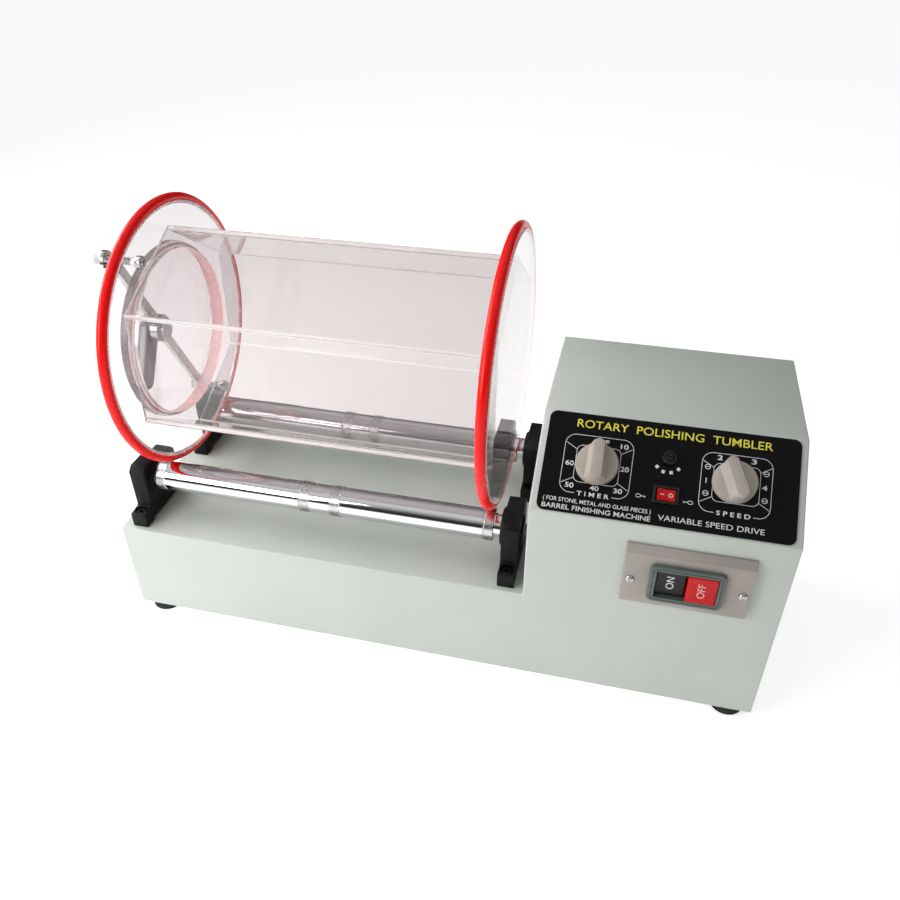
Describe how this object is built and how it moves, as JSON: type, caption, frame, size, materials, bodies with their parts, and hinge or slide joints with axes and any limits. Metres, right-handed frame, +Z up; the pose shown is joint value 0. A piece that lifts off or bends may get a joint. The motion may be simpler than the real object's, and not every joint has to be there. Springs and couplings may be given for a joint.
{
  "type": "rotary rock tumbler",
  "caption": "Rotary tumbler: clear hexagonal barrel between rubber-ringed discs, turned by two chrome rollers on a sheet-metal cabinet with a sloped control head.",
  "frame": {"origin": "on the floor under the middle of the cabinet, which is the bottom centre of the object's box", "axes": "+Z up, +X along the rollers towards the control head, -Y towards the user"},
  "size_m": [0.6, 0.2482, 0.3957],
  "materials": {
    "cabinet_paint": "semi-gloss powder coat, pale grey-green",
    "black_paint": "satin black enamel",
    "chrome": "polished plating, knurled bands",
    "steel": "bright zinc-plated",
    "clear_acrylic": "polished clear sheet with faintly pink edges",
    "red_rubber": "smooth, slightly translucent",
    "black_rubber": "matte moulded",
    "seal_rubber": "soft translucent",
    "label_black": "printed film, satin",
    "knob_plastic": "satin moulded",
    "plate_plastic": "satin moulded",
    "grey_green_plastic": "satin moulded",
    "black_plastic": "moulded",
    "red_plastic": "glossy moulded",
    "motor_paint": "dark enamel",
    "aluminium": "machined"
  },
  "bodies": {
    "cabinet": {"bearing_block_front_left": "black_paint", "bearing_block_front_right": "black_paint", "bearing_block_rear_left": "black_paint", "bearing_block_rear_right": "black_paint", "bearing_front_left": "steel", "bearing_front_right": "steel", "bearing_rear_left": "steel", "bearing_rear_right": "steel", "block_bolt_front_left_inner": "steel", "block_bolt_front_left_outer": "steel", "block_bolt_front_right_inner": "steel", "block_bolt_front_right_outer": "steel", "block_bolt_rear_left_inner": "steel", "block_bolt_rear_left_outer": "steel", "block_bolt_rear_right_inner": "steel", "block_bolt_rear_right_outer": "steel", "bottom_plate": "cabinet_paint", "cabinet_shell": "cabinet_paint", "control_label": "label_black", "cord_gland": "black_plastic", "drive_belt": "black_rubber", "drive_motor": "motor_paint", "foot_front_left": "black_rubber", "foot_front_right": "black_rubber", "foot_rear_left": "black_rubber", "foot_rear_right": "black_rubber", "fuse_holder": "black_plastic", "plate_screw_left": "steel", "plate_screw_right": "steel", "rocker_housing": "black_plastic", "speed_housing": "black_plastic", "switch_housing": "grey_green_plastic", "switch_plate": "plate_plastic", "timer_housing": "black_plastic"},
    "barrel": {"hex_tube": "clear_acrylic", "left_disc": "clear_acrylic", "right_disc": "clear_acrylic", "left_ring": "red_rubber", "right_ring": "red_rubber", "clamp_bolt_upper": "steel", "clamp_bolt_lower": "steel", "clamp_nut_upper": "steel", "clamp_nut_lower": "steel"},
    "lid_clamp": {"clamp_bar": "steel", "lid": "clear_acrylic", "gasket": "seal_rubber"},
    "clamp_handle": {"clamp_screw": "steel", "clamp_lever": "steel"},
    "front_roller": {"front_roller": "chrome"},
    "rear_roller": {"rear_roller": "chrome", "roller_pulley": "aluminium"},
    "motor_rotor": {"motor_pulley": "aluminium"},
    "timer_control": {"timer_knob": "knob_plastic", "timer_shaft": "steel"},
    "speed_control": {"speed_knob": "knob_plastic", "speed_shaft": "steel"},
    "rocker": {"rocker": "red_plastic"},
    "fuse_cap": {"fuse_cap": "black_plastic"},
    "on_button": {"on_button": "black_plastic"},
    "off_button": {"off_button": "red_plastic"}
  },
  "joints": [
    {"name": "barrel_spin", "type": "hinge", "parent": "cabinet", "child": "barrel", "pos_m": [0, 0, 0.27162], "axis": [1, 0, 0], "continuous": true},
    {"name": "front_roller_spin", "type": "hinge", "parent": "cabinet", "child": "front_roller", "pos_m": [-0.11, -0.061, 0.1465], "axis": [1, 0, 0], "continuous": true},
    {"name": "rear_roller_spin", "type": "hinge", "parent": "cabinet", "child": "rear_roller", "pos_m": [-0.11, 0.061, 0.1465], "axis": [1, 0, 0], "continuous": true},
    {"name": "motor_spin", "type": "hinge", "parent": "cabinet", "child": "motor_rotor", "pos_m": [0.104, -0.0425, 0.066], "axis": [1, 0, 0], "continuous": true},
    {"name": "lid_swing", "type": "hinge", "parent": "barrel", "child": "lid_clamp", "pos_m": [-0.28, 0.04848, 0.18416], "axis": [1, 0, 0], "range_deg": [-90, 0]},
    {"name": "clamp_screw_turn", "type": "hinge", "parent": "lid_clamp", "child": "clamp_handle", "pos_m": [-0.2925, 0, 0.27162], "axis": [1, 0, 0], "range_deg": [-360, 360]},
    {"name": "timer_turn", "type": "hinge", "parent": "cabinet", "child": "timer_control", "pos_m": [0.139, -0.06667, 0.22973], "axis": [0, -0.5803, 0.8144], "range_deg": [-300, 0]},
    {"name": "speed_turn", "type": "hinge", "parent": "cabinet", "child": "speed_control", "pos_m": [0.2458, -0.06626, 0.23002], "axis": [0, -0.5803, 0.8144], "range_deg": [-150, 90]},
    {"name": "rocker_tilt", "type": "hinge", "parent": "cabinet", "child": "rocker", "pos_m": [0.195, -0.08034, 0.21876], "axis": [0, 0.8144, 0.5803], "range_deg": [-14, 0]},
    {"name": "fuse_cap_turn", "type": "hinge", "parent": "cabinet", "child": "fuse_cap", "pos_m": [0.195, -0.05567, 0.23757], "axis": [0, -0.5803, 0.8144], "range_deg": [0, 90]},
    {"name": "off_press", "type": "slide", "parent": "cabinet", "child": "off_button", "axis": [0, 1, 0], "range_m": [0, 0.0045]},
    {"name": "on_press", "type": "slide", "parent": "cabinet", "child": "on_button", "axis": [0, 1, 0], "range_m": [-0.0045, 0]}
  ],
  "couplings": [
    {"joint": "front_roller_spin", "follows": "barrel_spin", "ratio": -8.5793},
    {"joint": "rear_roller_spin", "follows": "barrel_spin", "ratio": -8.5793},
    {"joint": "motor_spin", "follows": "barrel_spin", "ratio": -25.738},
    {"joint": "on_press", "follows": "off_press", "ratio": -1}
  ]
}
